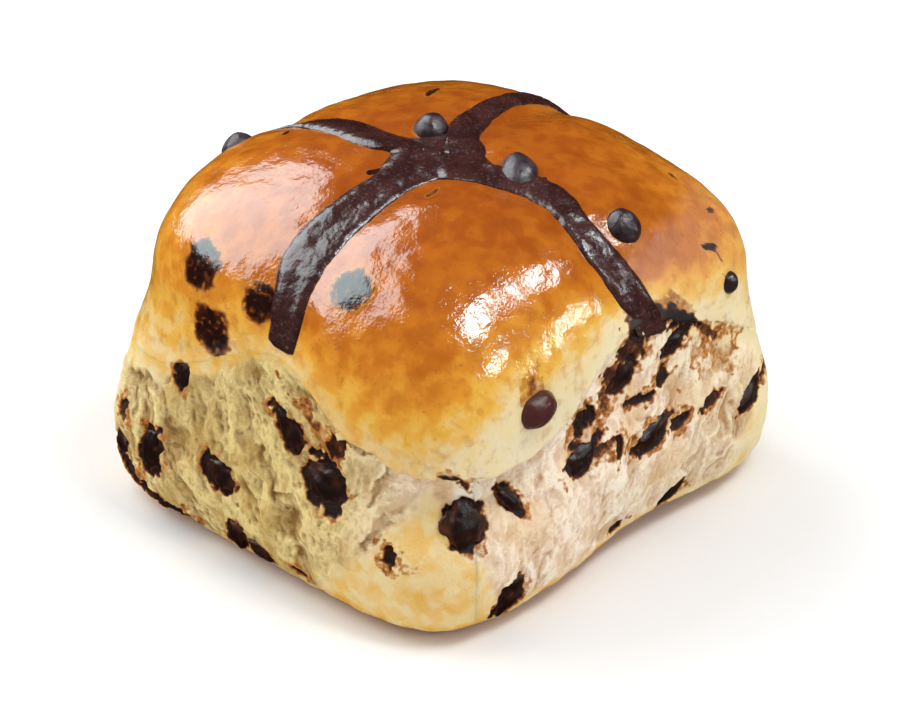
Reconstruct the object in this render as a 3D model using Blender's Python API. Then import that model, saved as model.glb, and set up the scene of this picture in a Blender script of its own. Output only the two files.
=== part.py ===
"""A chocolate chip hot cross bun, torn from its batch.

The bun is one solid: a domed, rounded-square crown over four torn sides and a flat
base. A piped chocolate cross lies in a shallow groove over the crown, and chocolate
chips sit half sunk in pockets in the crown and in the torn sides.

Metres, +Z up. The origin is the middle of the flat base.
"""

import math

import bmesh
import bpy
import numpy as np
from mathutils import Matrix, Vector

MM = 0.001

# The loaf shape
CROWN_WIDTH = 71.5 * MM  # across the crown, before the long and short side
HEIGHT = 53.6 * MM
WAIST_HEIGHT = 26.5 * MM  # where the crown is widest
CROWN_POWER = 3.1  # superellipse power of the dome; 2 is an ellipse
FOOT_POWER = 9.0  # and of the side below the waist, which turns in sharply
PLAN_POWER_TOP = 2.0  # the plan is round at the top
PLAN_POWER_SIDE = 5.7  # and a rounded square from the waist down
LONG_SHARE = 1.037  # X is longer than the mean by this share, Y shorter
BASE_TRIM = 0.6 * MM  # cut off the rounded bottom, which leaves the flat base
FOOT_FLARE = 2.8 * MM  # the foot stands out past the crown
FLARE_HEIGHTS = (30 * MM, 10 * MM)  # from none to all of the flare

# The crust's lip, over the torn sides
CROSS_TURN = math.radians(5.3)
LIP_HEIGHT = 31.0 * MM
LIP_SWING = 5.5 * MM  # higher at the middle of a side, lower at the corners
LIP_STEP = 1.8 * MM  # the torn crumb lies this far in, just under the lip
LIP_TURN = 2.5 * MM  # height over which the surface steps in
LIP_FADE = 15 * MM  # and over which it comes out again, further down
CRUMB_LUMP = 0.35 * MM
CRUMB_RUN = 4 * MM  # the lumps begin this far under the lip and over the base

# The lobes that puff up between the arms of the cross
LOBE_PUFF = 0.6 * MM
PUFF_HEIGHTS = (30 * MM, 42 * MM)  # from none to all of the puff
VALLEY_DEPTH = 0.9 * MM
VALLEY_WIDTH = 4.2 * MM
VALLEY_HEIGHTS = (34 * MM, 42 * MM)

# Puffs and dents that make the loaf uneven: bearing in degrees, height, how far each
# spreads in degrees and in height, and how far it stands out
PUFFS = (
    (110, 46 * MM, 34, 7 * MM, 2.2 * MM),  # full shoulder
    (142, 34 * MM, 24, 6 * MM, -1.4 * MM),  # pinched over a corner
    (-80, 4 * MM, 24, 10 * MM, -2.4 * MM),  # torn side, hollow at its foot
    (-38, 48 * MM, 24, 5 * MM, -1.3 * MM),  # low shoulder
    (-42, 38 * MM, 24, 6 * MM, 0.8 * MM),
    (-135, 33 * MM, 28, 7 * MM, 1.2 * MM),  # this lobe hangs over its corner
    (-135, 20 * MM, 26, 5 * MM, -1.0 * MM),
    (50, 50 * MM, 45, 7 * MM, -0.8 * MM),
)

# The piped cross: two bands, the second over the first
BAND_WIDTH = 6.0 * MM
BAND_MIDDLE_WIDTH = 7.6 * MM
BAND_RISE = (1.4 * MM, 1.1 * MM)
BAND_SINK = (1.1 * MM, 0.7 * MM)
BAND_SIDE = 0.45 * MM  # height of a band's edge over the crust
BAND_STEPS = 24
MIDDLE = (-1.0 * MM, -0.5 * MM)  # where the bands cross, measured along the crust
GAP = 0.3 * MM  # between a piece and the groove or pocket that it lies in

# Each band's turn from the cross's own, then for each of its two arms the length, the
# share of its width kept at the end, and how far its middle and its end run aside
BANDS = (
    (0, (41.5 * MM, 1.0, 0.3 * MM, 0.0 * MM), (40 * MM, 0.60, 0.8 * MM, 0.0 * MM)),
    (90, (44 * MM, 0.92, 2.0 * MM, -2.0 * MM), (30 * MM, 0.40, 1.2 * MM, 2.0 * MM)),
)

# Chips in the crown: bearing in degrees, distance down the crust from the top,
# diameter and share sunk
CROWN_CHIPS = (
    (57, 8.4, 5.4, 0.54),
    (-71, 12.0, 5.8, 0.56),
    (-73, 29.3, 5.6, 0.50),
    (109, 32.5, 5.4, 0.58),
    (28, 33.0, 5.4, 0.72),
    (-12, 38.0, 5.6, 0.74),
    (69, 35.0, 5.4, 0.74),
)
# Chips in the sides: bearing in degrees, height, diameter, share sunk
SIDE_CHIPS = (
    (-55.5, 34.5, 3.4, 0.50),
    (155, 43.0, 6.0, 0.76),
    (162, 35.0, 6.2, 0.76),
    (175.5, 42.5, 4.6, 0.70),
    (-159.5, 47.8, 5.4, 0.76),
    (-115.5, 33.0, 5.6, 0.42),
    (153.5, 25.2, 4.6, 0.55),
    (-172, 25.5, 6.4, 0.70),
    (-161, 20.0, 7.6, 0.62),
    (169, 13.8, 6.2, 0.62),
    (150, 11.5, 6.6, 0.50),
    (140, 9.0, 4.6, 0.30),
    (173, 4.2, 4.6, 0.40),
    (180.5, 3.4, 4.2, 0.38),
    (-130.5, 18.5, 7.0, 0.56),
    (-121, 19.6, 4.4, 0.60),
    (-122.5, 5.1, 5.4, 0.55),
    (-87.5, 29.3, 5.0, 0.55),
    (-71, 30.5, 5.2, 0.55),
    (-102, 20.5, 4.8, 0.58),
    (-81, 18.3, 5.4, 0.60),
    (-54, 14.8, 5.2, 0.50),
    (-43, 12.0, 4.8, 0.30),
    (-72.7, 4.8, 4.4, 0.55),
    (12, 24.0, 6.2, 0.60),
    (-14, 12.5, 5.6, 0.55),
    (34, 9.5, 5.2, 0.45),
    (47, 21.0, 6.4, 0.55),
    (76, 13.0, 6.0, 0.60),
    (97, 24.5, 6.4, 0.62),
    (112, 9.0, 5.0, 0.50),
)
CHIPS_IN_CROSS = (1, 2)  # these touch a band, which is cut round them
CHIP_POINT = 0.20  # how far a chip's tip is drawn out, as a share of its radius
CHIP_TAPER = 0.30  # and how much narrower it gets there
CHIP_LEAN = 0.5  # how far tips lean out of the crust, against up it
CHIP_SEGMENTS, CHIP_RINGS = 7, 5
BUN_SEGMENTS, BUN_RINGS = 56, 30
RIM_DOWN, RIM_ROW = 0.74, 0.90  # the rows crowd above the rim; the flat base has few


def smoothstep(value):
    """0 below 0, 1 above 1, and an even S between."""
    value = np.clip(value, 0.0, 1.0)
    return value * value * (3 - 2 * value)


def ramp(value, low, high):
    """The same S, from 0 at one value to 1 at another."""
    return smoothstep((value - low) / (high - low))


def side_profile():
    """The side from top to base, even by length: its length, then at each step the way
    down, the share of the full radius, the height and the outward direction."""
    angle = np.linspace(0.0, math.pi, 721)
    upper = angle < math.pi / 2
    power = np.where(upper, 2 / CROWN_POWER, 2 / FOOT_POWER)
    radius = np.abs(np.sin(angle)) ** power
    rise = np.abs(np.cos(angle)) ** power
    full = HEIGHT + BASE_TRIM
    waist = WAIST_HEIGHT + BASE_TRIM
    height = np.where(upper, waist + (full - waist) * rise, waist * (1 - rise))
    steps = np.hypot(np.diff(radius) * CROWN_WIDTH / 2, np.diff(height))
    length = np.concatenate([[0.0], np.cumsum(steps)])
    even = np.linspace(0.0, length[-1], 721)
    radius = np.interp(even, length, radius)
    height = np.interp(even, length, height)
    out = -np.gradient(height)
    up = np.gradient(radius * CROWN_WIDTH / 2)
    size = np.hypot(out, up)
    height = np.maximum(height - BASE_TRIM, 0.0)
    return length[-1], even / length[-1], radius, height, out / size, up / size


SIDE_LENGTH, DOWN, RADIUS, SIDE_HEIGHT, OUT, UP = side_profile()


def lip_height(bearing):
    """Height of the crust's lower edge at a bearing."""
    return LIP_HEIGHT + LIP_SWING * np.cos(4 * (bearing - CROSS_TURN))


def relief(bearing, radius, height):
    """How far the surface stands out from the plain loaf, along its own outward way."""
    quarter = math.pi / 2
    from_arm = np.mod(bearing - CROSS_TURN + quarter / 2, quarter) - quarter / 2
    aside = radius * np.sin(from_arm)
    valley = np.exp(-((aside / VALLEY_WIDTH) ** 2))
    valley = valley * ramp(height, *VALLEY_HEIGHTS)
    between = smoothstep(np.abs(from_arm) / (quarter / 2))
    puff = between * smoothstep(radius / (CROWN_WIDTH / 4)) * ramp(height, *PUFF_HEIGHTS)
    below = lip_height(bearing) - height
    torn = smoothstep(below / LIP_TURN) * (1 - ramp(below, LIP_TURN, LIP_FADE + LIP_TURN))
    waves = np.sin(9 * bearing + 2) * np.sin(height / (2.6 * MM) + 3 * np.sin(2 * bearing))
    lumps = CRUMB_LUMP * waves * smoothstep(below / CRUMB_RUN) * smoothstep(height / CRUMB_RUN)
    stand = LOBE_PUFF * puff - VALLEY_DEPTH * valley - LIP_STEP * torn + lumps
    for middle, level, spread, tall, amount in PUFFS:
        turn = np.mod(bearing - math.radians(middle) + math.pi, 2 * math.pi) - math.pi
        far = (turn / math.radians(spread)) ** 2 + ((height - level) / tall) ** 2
        stand = stand + amount * np.exp(-far)
    return stand


def bun_surface(bearing, down):
    """Points on the bun; down runs from 0 at the top to 1 in the middle of the base."""
    bearing, down = np.broadcast_arrays(np.asarray(bearing, float), np.asarray(down, float))
    share = np.interp(down, DOWN, RADIUS)
    height = np.interp(down, DOWN, SIDE_HEIGHT)
    fall = np.clip((HEIGHT - height) / (HEIGHT - WAIST_HEIGHT), 0.0, 1.0)
    power = PLAN_POWER_TOP + (PLAN_POWER_SIDE - PLAN_POWER_TOP) * fall
    square = np.abs(np.cos(bearing)) ** power + np.abs(np.sin(bearing)) ** power
    flare = FOOT_FLARE * ramp(height, *FLARE_HEIGHTS)
    radius = (CROWN_WIDTH / 2 + flare) * share * square ** (-1 / power)
    stand = relief(bearing, radius, height)
    radius = radius + stand * np.interp(down, DOWN, OUT) * smoothstep(share / 0.1)
    rise = np.where(height > 0, stand * np.interp(down, DOWN, UP), 0.0)
    height = np.maximum(height + rise, 0.0)
    x = radius * np.cos(bearing) * LONG_SHARE
    y = radius * np.sin(bearing) / LONG_SHARE
    return np.stack([x, y, height], axis=-1)


def down_at_height(height):
    """How far down the side a height lies, above the base."""
    falling = SIDE_HEIGHT > 0
    return float(np.interp(-height, -SIDE_HEIGHT[falling], DOWN[falling]))


def drape(x, y):
    """Points on the bun reached by measuring x and y along the crust from the top."""
    return bun_surface(np.arctan2(y, x), np.hypot(x, y) / SIDE_LENGTH)


def outward(x, y, step=0.3 * MM):
    """The direction straight out of the bun, at points given as for drape."""
    along_x = drape(x + step, y) - drape(x - step, y)
    along_y = drape(x, y + step) - drape(x, y - step)
    out = np.cross(along_x, along_y)
    return out / np.linalg.norm(out, axis=-1, keepdims=True)


def material(name, colour, roughness):
    """A Principled finish with one colour."""
    made = bpy.data.materials.new(name)
    made.use_nodes = True
    shader = made.node_tree.nodes["Principled BSDF"]
    shader.inputs["Base Color"].default_value = (*colour, 1.0)
    shader.inputs["Roughness"].default_value = roughness
    shader.inputs["Metallic"].default_value = 0.0
    made.diffuse_color = (*colour, 1.0)
    return made


def new_object(name, shape, collection, finish=None):
    """Turn a bmesh into an object, shaded smooth; one with no finish is a cutter."""
    bmesh.ops.recalc_face_normals(shape, faces=shape.faces)
    mesh = bpy.data.meshes.new(name)
    shape.to_mesh(mesh)
    shape.free()
    mesh.shade_smooth()
    made = bpy.data.objects.new(name, mesh)
    collection.objects.link(made)
    if finish:
        mesh.materials.append(finish)
    else:
        made.hide_render = True
        made.display_type = "WIRE"
    return made


def add_boolean(target, other, operation):
    """Cut another object out of the target, or join it on."""
    modifier = target.modifiers.new(operation.lower() + " " + other.name, "BOOLEAN")
    modifier.operation = operation
    modifier.solver = "EXACT"
    modifier.object = other


def make_bun(collection, finish):
    """The loaf: a sphere whose points are moved onto the bun's surface."""
    shape = bmesh.new()
    bmesh.ops.create_uvsphere(shape, u_segments=BUN_SEGMENTS, v_segments=BUN_RINGS, radius=1.0)
    for vert in shape.verts:
        row = math.acos(max(-1.0, min(1.0, vert.co.z))) / math.pi
        down = np.interp(row, (0.0, RIM_ROW, 1.0), (0.0, RIM_DOWN, 1.0))
        vert.co = Vector(bun_surface(math.atan2(vert.co.y, vert.co.x), down))
    return new_object("bun", shape, collection, finish)


def make_band(name, order, grow, collection, finish=None):
    """One band of the cross: a box, cut into steps and laid over the crown.

    Grown by the gap on every side, the same band is the cutter for its groove.
    """
    turn, start, end = BANDS[order]
    turn = CROSS_TURN + math.radians(turn)
    shape = bmesh.new()
    bmesh.ops.create_cube(shape, size=2.0)
    for axis, cuts in ((0, BAND_STEPS - 1), (1, 3)):
        spans = [
            edge
            for edge in shape.edges
            if abs((edge.verts[0].co - edge.verts[1].co)[axis]) > 1.0
        ]
        bmesh.ops.subdivide_edges(shape, edges=spans, cuts=cuts, use_grid_fill=True)
    along, side, level = np.array([vert.co[:] for vert in shape.verts]).T
    way = np.abs(along)
    length, share, belly, bend = np.where(along < 0, np.vstack(start), np.vstack(end))
    width = BAND_WIDTH + (BAND_MIDDLE_WIDTH - BAND_WIDTH) * np.exp(-((way / 0.25) ** 2))
    width = width * (1 + (share - 1) * ramp(way, 0.3, 0.9)) + 2 * grow
    run = along * length + np.where(way > 0.999, np.sign(along) * grow, 0.0)
    aside = side * width / 2 + belly * np.sin(math.pi * way) + bend * way**4
    x = MIDDLE[0] * (1 - way) + run * math.cos(turn) - aside * math.sin(turn)
    y = MIDDLE[1] * (1 - way) + run * math.sin(turn) + aside * math.cos(turn)
    crowned = BAND_SIDE + (BAND_RISE[order] - BAND_SIDE) * (1 - np.abs(side) ** 2.4)
    lift = np.where(level > 0, crowned + 5 * grow, -BAND_SINK[order] - grow)
    placed = drape(x, y) + outward(x, y) * lift[:, None]
    for vert, place in zip(shape.verts, placed):
        vert.co = Vector(place)
    return new_object(name, shape, collection, finish)


def make_cross(collection, cutters, finish):
    """Both bands joined; the second band stays with the cutters as a guide."""
    cross = make_band("cross", 0, 0.0, collection, finish)
    add_boolean(cross, make_band("second_band", 1, 0.0, cutters), "UNION")
    return cross


def chip_shape(diameter, grow):
    """A chocolate chip on its own: a ball with one end drawn out to a soft tip."""
    shape = bmesh.new()
    bmesh.ops.create_uvsphere(
        shape, u_segments=CHIP_SEGMENTS, v_segments=CHIP_RINGS, radius=1.0
    )
    for vert in shape.verts:
        tip = max(vert.co.z, 0.0)
        vert.co.x *= 1 - CHIP_TAPER * tip
        vert.co.y *= 1 - CHIP_TAPER * tip
        vert.co.z += CHIP_POINT * tip**2
        vert.co *= diameter / 2 + grow
    return shape


def chip_place(bearing, down, diameter, sunk):
    """Where a chip lies: its tip leans up the bun, and its share sunk is under the crust."""
    x, y = down * SIDE_LENGTH * math.cos(bearing), down * SIDE_LENGTH * math.sin(bearing)
    out = Vector(outward(x, y))
    middle = Vector(drape(x, y)) + out * diameter * (0.5 - sunk)
    uphill = Vector((0.0, 0.0, 1.0)) - out * out.z
    tip = (uphill.normalized() + out * CHIP_LEAN).normalized()
    return Matrix.Translation(middle) @ tip.to_track_quat("Z", "Y").to_matrix().to_4x4()


def make_chips(collection, cutters, finish):
    """Every chip as its own object, and a slightly larger cutter for its pocket."""
    places = [
        (math.radians(bearing), distance * MM / SIDE_LENGTH, diameter * MM, sunk)
        for bearing, distance, diameter, sunk in CROWN_CHIPS
    ]
    places += [
        (math.radians(bearing), down_at_height(height * MM), diameter * MM, sunk)
        for bearing, height, diameter, sunk in SIDE_CHIPS
    ]
    pockets = []
    for number, (bearing, down, diameter, sunk) in enumerate(places, 1):
        matrix = chip_place(bearing, down, diameter, sunk)
        chip = new_object(f"chip_{number:02d}", chip_shape(diameter, 0.0), collection, finish)
        chip.matrix_world = matrix
        pocket = new_object(f"pocket_{number:02d}", chip_shape(diameter, GAP), cutters)
        pocket.matrix_world = matrix
        pockets.append(pocket)
    return pockets


def new_collection(name):
    """A collection of the scene's own."""
    made = bpy.data.collections.new(name)
    bpy.context.scene.collection.children.link(made)
    return made


def main():
    for thing in list(bpy.data.objects):
        bpy.data.objects.remove(thing, do_unlink=True)
    parts = new_collection("hot_cross_bun")
    cutters = new_collection("cutters")
    crust = material("baked crust", (0.56, 0.19, 0.035), 0.35)
    piping = material("chocolate piping", (0.070, 0.030, 0.026), 0.55)
    chocolate = material("chocolate chip", (0.045, 0.022, 0.022), 0.35)
    bun = make_bun(parts, crust)
    cross = make_cross(parts, cutters, piping)
    for order in range(len(BANDS)):
        add_boolean(bun, make_band(f"groove_{order + 1}", order, GAP, cutters), "DIFFERENCE")
    for number, pocket in enumerate(make_chips(parts, cutters, chocolate), 1):
        add_boolean(bun, pocket, "DIFFERENCE")
        if number in CHIPS_IN_CROSS:
            add_boolean(cross, pocket, "DIFFERENCE")


main()
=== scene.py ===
"""A chocolate chip hot cross bun, torn from its batch.

Lengths are in metres, and MM turns millimetres into them. Bearings run anticlockwise
from +X as seen from above, and heights are over the flat base.
"""

import math

import bpy
import numpy as np
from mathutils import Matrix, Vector


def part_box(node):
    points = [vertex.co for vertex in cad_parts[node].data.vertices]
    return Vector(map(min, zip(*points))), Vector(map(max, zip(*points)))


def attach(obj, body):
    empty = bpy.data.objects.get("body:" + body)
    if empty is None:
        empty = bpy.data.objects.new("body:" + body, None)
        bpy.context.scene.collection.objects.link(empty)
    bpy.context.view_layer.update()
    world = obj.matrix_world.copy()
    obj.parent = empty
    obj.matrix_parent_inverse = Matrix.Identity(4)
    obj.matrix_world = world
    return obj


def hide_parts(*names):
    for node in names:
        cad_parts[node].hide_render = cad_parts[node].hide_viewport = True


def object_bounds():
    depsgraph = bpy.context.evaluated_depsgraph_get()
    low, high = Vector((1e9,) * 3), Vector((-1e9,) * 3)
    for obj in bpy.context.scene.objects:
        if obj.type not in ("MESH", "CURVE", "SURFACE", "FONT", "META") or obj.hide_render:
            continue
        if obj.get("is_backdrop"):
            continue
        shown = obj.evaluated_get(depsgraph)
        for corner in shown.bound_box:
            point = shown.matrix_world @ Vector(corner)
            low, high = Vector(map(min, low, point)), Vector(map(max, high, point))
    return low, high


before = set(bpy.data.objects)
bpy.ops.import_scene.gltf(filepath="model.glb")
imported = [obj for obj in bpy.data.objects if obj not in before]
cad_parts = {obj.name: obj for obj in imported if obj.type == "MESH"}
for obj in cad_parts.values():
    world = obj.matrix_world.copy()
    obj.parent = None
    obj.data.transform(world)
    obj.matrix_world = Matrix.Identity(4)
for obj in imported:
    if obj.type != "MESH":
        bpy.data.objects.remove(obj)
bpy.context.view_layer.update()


# ----------------------------------------------------------------------------------
# The crust. A ball of sweet dough, proved against its neighbours until it is a rounded
# square, then glazed and baked. Where it was torn from the next bun the crust ends in a
# lip, and at the four corners, which touched nothing, it runs on down to the base.

MM = 0.001
# The loaf: its width, its height and its waist's, the powers of its curves (a higher one
# is squarer), and how much it is drawn out along X and drawn in along Y
CROWN_WIDTH = 71.5 * MM
HEIGHT = 53.6 * MM
WAIST_HEIGHT = 26.5 * MM
CROWN_POWER = 3.1
FOOT_POWER = 9.0
PLAN_POWER_TOP = 2.0
PLAN_POWER_SIDE = 5.7
LONG_SHARE = 1.037
BASE_TRIM = 0.6 * MM  # the round of its base is cut off flat this far up
PROFILE_STEPS = 721
# How far its foot flares, its four lobes puff and the cross's valleys sink, and between
# which heights each comes in
FOOT_FLARE = 2.8 * MM
FLARE_HEIGHTS = (30 * MM, 10 * MM)
CROSS_TURN = math.radians(5.3)
LOBE_PUFF = 0.6 * MM
PUFF_HEIGHTS = (30 * MM, 42 * MM)
VALLEY_DEPTH = 0.9 * MM
VALLEY_WIDTH = 4.2 * MM
VALLEY_HEIGHTS = (34 * MM, 42 * MM)
# Puffs and dents: bearing in degrees, height, spread in degrees and in height, amount
PUFFS = (
    (110, 46 * MM, 34, 7 * MM, 2.2 * MM),
    (142, 34 * MM, 24, 6 * MM, -1.4 * MM),
    (-80, 4 * MM, 24, 10 * MM, -2.4 * MM),
    (-38, 48 * MM, 24, 5 * MM, -1.3 * MM),
    (-42, 38 * MM, 24, 6 * MM, 0.8 * MM),
    (-135, 33 * MM, 28, 7 * MM, 1.2 * MM),
    (-135, 20 * MM, 26, 5 * MM, -1.0 * MM),
    (50, 50 * MM, 45, 7 * MM, -0.8 * MM),
)

# The lip: its height, how far it swings up at the middle of each side and down at the
# corners, then where it sags (bearing, spread in degrees, drop)
LIP_HEIGHT = 31.0 * MM
LIP_SWING = 5.5 * MM
LIP_SAGS = ((204, 9, 2.0 * MM), (225, 9, -1.2 * MM), (252, 11, 2.6 * MM), (313, 8, 2.6 * MM))
LIP_RAGGED = 0.55 * MM
LIP_ROLL = 0.12 * MM
LIP_ROLL_HEIGHT = 1.6 * MM
# How far the dough under the lip lies back at each bearing in degrees, in mm
TUCK_BEARINGS = (40, 90, 125, 150, 165, 188, 206, 225, 246, 262, 276, 300, 330)
TUCK_DEPTHS = (0.9, 0.5, 0.1, 0.0, 0.1, 0.5, 1.7, 2.2, 2.0, 1.2, 0.6, 0.2, 0.4)
# and how far under the lip the torn crumb begins there, in mm, below a stretched skin
LIP_SKINS = (1.0, 1.0, 3.2, 2.8, 1.6, 0.6, 0.0, 0.0, 0.2, 0.6, 0.8, 3.0, 1.6)
# The dough lies fully back this far under the lip, and comes out again over the next
TUCK_TURN = 1.8 * MM
TUCK_FADE = 15 * MM
# The torn sides: middle bearing, then where the skin ends before it and after it, each
# in degrees at the base and at the lip, and the height of the skin left at the foot
FACES = (
    (0, (-32, -50), (30, 50), 2.6 * MM),
    (90, (-32, -50), (31, 50), 2.2 * MM),
    (180, (-43, -46), (15, 54), 1.2 * MM),
    (270, (-31, -54), (29, 46), 3.0 * MM),
)
SKIN_STEP = 2.6 * MM  # under a torn side the crust mesh lies this far in, unseen
AROUND = 440
CROWN_ROWS, SKIN_ROWS, BASE_ROWS = 134, 78, 6
# Layers of noise, each an amount, a size in mm and a seed: the crust's swells, in mm, the
# ragged edge of a torn side, in metres, and those of marks and smears, as shares of them
SWELLS = ((0.20, 9, 11), (0.09, 3.6, 12), (0.045, 1.9, 13))
TORN_EDGE = ((1.6 * MM, 5, 3), (0.9 * MM, 1.6, 4))
MARK_EDGE = ((0.30, 1.3, 7), (0.15, 2.6, 8))
SMEAR_EDGE = ((0.50, 1.9, 5), (0.36, 0.8, 6))
# How baked the crust is at its lip, and the height in mm where it is fully orange, by
# bearing in degrees
BAKE_BEARINGS = (0, 45, 100, 135, 150, 165, 205, 222, 236, 248, 262, 285, 300, 315)
LIP_BAKES = (0.15, 0.20, 0.22, 0.22, 0.22, 0.24, 0.26, 0.20, 0.01, 0.0, 0.03, 0.08, 0.06, 0.08)
ORANGE_HEIGHTS = (45, 45, 46, 46, 45, 44.5, 43, 42, 46.5, 46.5, 46, 42.5, 41.5, 43.5)
# How baked it is where it is orange, how much more at the top, and how much less behind
ORANGE_BAKE, TOP_BAKE, BEHIND_BAKE = 0.55, 0.20, 0.11
# How baked the base is, and how much more the skin just above it is, up to a height
BASE_BAKE, RIM_BAKE, RIM_HEIGHT = 0.50, 0.22, 3 * MM
# The colour of dough by how baked it is, then what melted chocolate stains it, from a
# little to the most: where each colour comes in and fills
BAKE_SHADES = (
    (0.00, "E4D3AC"),
    (0.14, "E6CE96"),
    (0.28, "E6B24C"),
    (0.40, "DC9430"),
    (0.55, "C2701E"),
    (0.75, "A25218"),
    (1.00, "7E3816"),
)
STAIN_SHADES = (
    (0.26, 0.48, "B5762E"),
    (0.42, 0.62, "7E421A"),
    (0.56, 0.76, "44200F"),
    (0.74, 0.94, "24100C"),
)
DULL_ROUGHNESS, GLAZED_ROUGHNESS = 0.60, 0.11
# The middle and the half width, in degrees, of a dull stretch of crust low on one side
DULL_BEARING, DULL_REACH = 304, 26
# Bumps of the glaze: how many to a metre, where they start and fill, and height in mm
GLAZE_BUMPS = (
    (380.0, 0.25, 0.75, 0.090),
    (950.0, 0.3, 0.7, 0.034),
    (2300.0, 0.35, 0.65, 0.016),
)
# Dark marks in the crown: x and y from the top along the crust, length and width, all in
# mm, turn in degrees, then how dark: half is a brown scar and 1 is chocolate
CROWN_MARKS = (
    (21.0, -32.5, 3.6, 1.2, 5, 0.9),
    (22.8, -34.8, 4.0, 0.5, -65, 0.7),
    (25.0, -26.5, 2.2, 1.3, 20, 0.7),
    (25.0, -20.0, 2.6, 1.0, 70, 0.6),
    (-10.0, 3.6, 3.6, 1.2, -15, 0.8),
    (-9.0, -7.0, 3.4, 1.3, 10, 0.66),
    (3.5, -14.2, 5.5, 1.6, -25, 0.95),
    (13.0, 15.5, 5.0, 1.6, 20, 0.78),
    (20.5, 20.5, 3.0, 1.2, -40, 0.72),
    (-8.5, 22.5, 2.6, 1.0, 30, 0.78),
    (-21.0, 40.5, 2.2, 1.4, 0, 0.8),
)
# Chocolate smears on the sides and lips: bearing, height, length, width in mm, turn in
# degrees and how dark
SMEARS = (
    (193.0, 29.6, 7.0, 2.6, -35, 0.55),
    (201.5, 26.3, 5.0, 3.2, 70, 0.80),
    (195.5, 24.0, 3.0, 1.6, 20, 0.95),
    (182.5, 29.0, 3.4, 1.6, 40, 0.85),
    (141.0, 15.5, 2.0, 3.6, 10, 0.80),
    (215.5, 14.3, 1.8, 2.6, 15, 0.95),
    (217.0, 11.8, 3.2, 3.0, 0, 0.22),
    (193.8, 4.7, 2.8, 1.4, -20, 0.95),
    (226.9, 27.0, 3.2, 1.0, -28, 1.00),
    (229.5, 24.6, 1.1, 3.4, 15, 0.75),
    (259.8, 25.9, 5.4, 3.4, 50, 0.95),
    (256.5, 22.6, 2.2, 3.2, 30, 0.75),
    (268.0, 19.4, 2.0, 4.6, -10, 0.95),
    (263.5, 20.8, 6.0, 1.8, 15, 0.70),
    (276.9, 18.3, 7.0, 2.8, 14, 1.00),
    (287.0, 18.4, 4.4, 2.2, 25, 0.95),
    (295.5, 18.6, 4.2, 1.8, 25, 0.80),
    (276.9, 24.8, 6.0, 1.6, -8, 1.00),
    (284.0, 26.6, 3.4, 2.8, 60, 0.80),
    (270.0, 30.5, 6.0, 5.5, 40, 0.66),
    (274.5, 33.5, 7.0, 4.5, 30, 0.80),
    (281.0, 36.5, 11.0, 4.6, -14, 0.84),
    (289.5, 34.0, 8.0, 2.8, -42, 0.95),
    (297.5, 29.5, 6.0, 1.4, -50, 0.62),
    (266.0, 28.0, 3.4, 3.6, 20, 0.60),
    (270.3, 4.2, 3.4, 1.6, 35, 0.95),
    (312.5, 16.5, 3.4, 1.8, 20, 0.95),
    (142.5, 6.0, 11.0, 4.6, -28, 0.97),
    (152.0, 3.0, 11.0, 3.2, -12, 0.92),
    (300.5, 25.5, 9.0, 6.0, 25, 0.34),
    (243.5, 37.0, 3.6, 1.2, 80, 0.60),
    (10.0, 30.0, 5.0, 2.4, 30, 0.80),
    (352.0, 20.0, 4.6, 1.8, -20, 0.90),
    (63.0, 17.0, 4.0, 1.8, 40, 0.80),
    (88.0, 8.0, 3.6, 1.6, 10, 0.90),
    (118.0, 22.0, 3.6, 2.0, -30, 0.75),
)


def smoothstep(value):
    """0 below 0, 1 above 1, and an even S between."""
    value = np.clip(value, 0.0, 1.0)
    return value * value * (3 - 2 * value)


def ramp(value, low, high):
    """The same S, from 0 at one value to 1 at another."""
    return smoothstep((value - low) / (high - low))


def unit(directions):
    """The same directions, each of length 1."""
    return directions / np.maximum(np.linalg.norm(directions, axis=-1, keepdims=True), 1e-12)


def turn_from(bearing, middle):
    """The turn in degrees from a middle bearing to each bearing, from -180 to 180."""
    return (np.degrees(bearing) - middle + 180) % 360 - 180


def side_profile():
    """The side from top to base: a superellipse above the waist and a squarer one below.

    Returns its length and, at even steps along it, the share of the way, the share of
    the full radius, the height and the outward direction.
    """
    angle = np.linspace(0.0, math.pi, PROFILE_STEPS)
    upper = angle < math.pi / 2
    power = np.where(upper, 2 / CROWN_POWER, 2 / FOOT_POWER)
    radius = np.abs(np.sin(angle)) ** power
    rise = np.abs(np.cos(angle)) ** power
    full = HEIGHT + BASE_TRIM
    waist = WAIST_HEIGHT + BASE_TRIM
    height = np.where(upper, waist + (full - waist) * rise, waist * (1 - rise))
    steps = np.hypot(np.diff(radius) * CROWN_WIDTH / 2, np.diff(height))
    length = np.concatenate([[0.0], np.cumsum(steps)])
    even = np.linspace(0.0, length[-1], PROFILE_STEPS)
    radius = np.interp(even, length, radius)
    height = np.interp(even, length, height)
    out = -np.gradient(height)
    up = np.gradient(radius * CROWN_WIDTH / 2)
    size = np.hypot(out, up)
    height = np.maximum(height - BASE_TRIM, 0.0)
    return length[-1], even / length[-1], radius, height, out / size, up / size


SIDE_LENGTH, DOWN, RADIUS, SIDE_HEIGHT, OUT, UP = side_profile()


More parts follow.
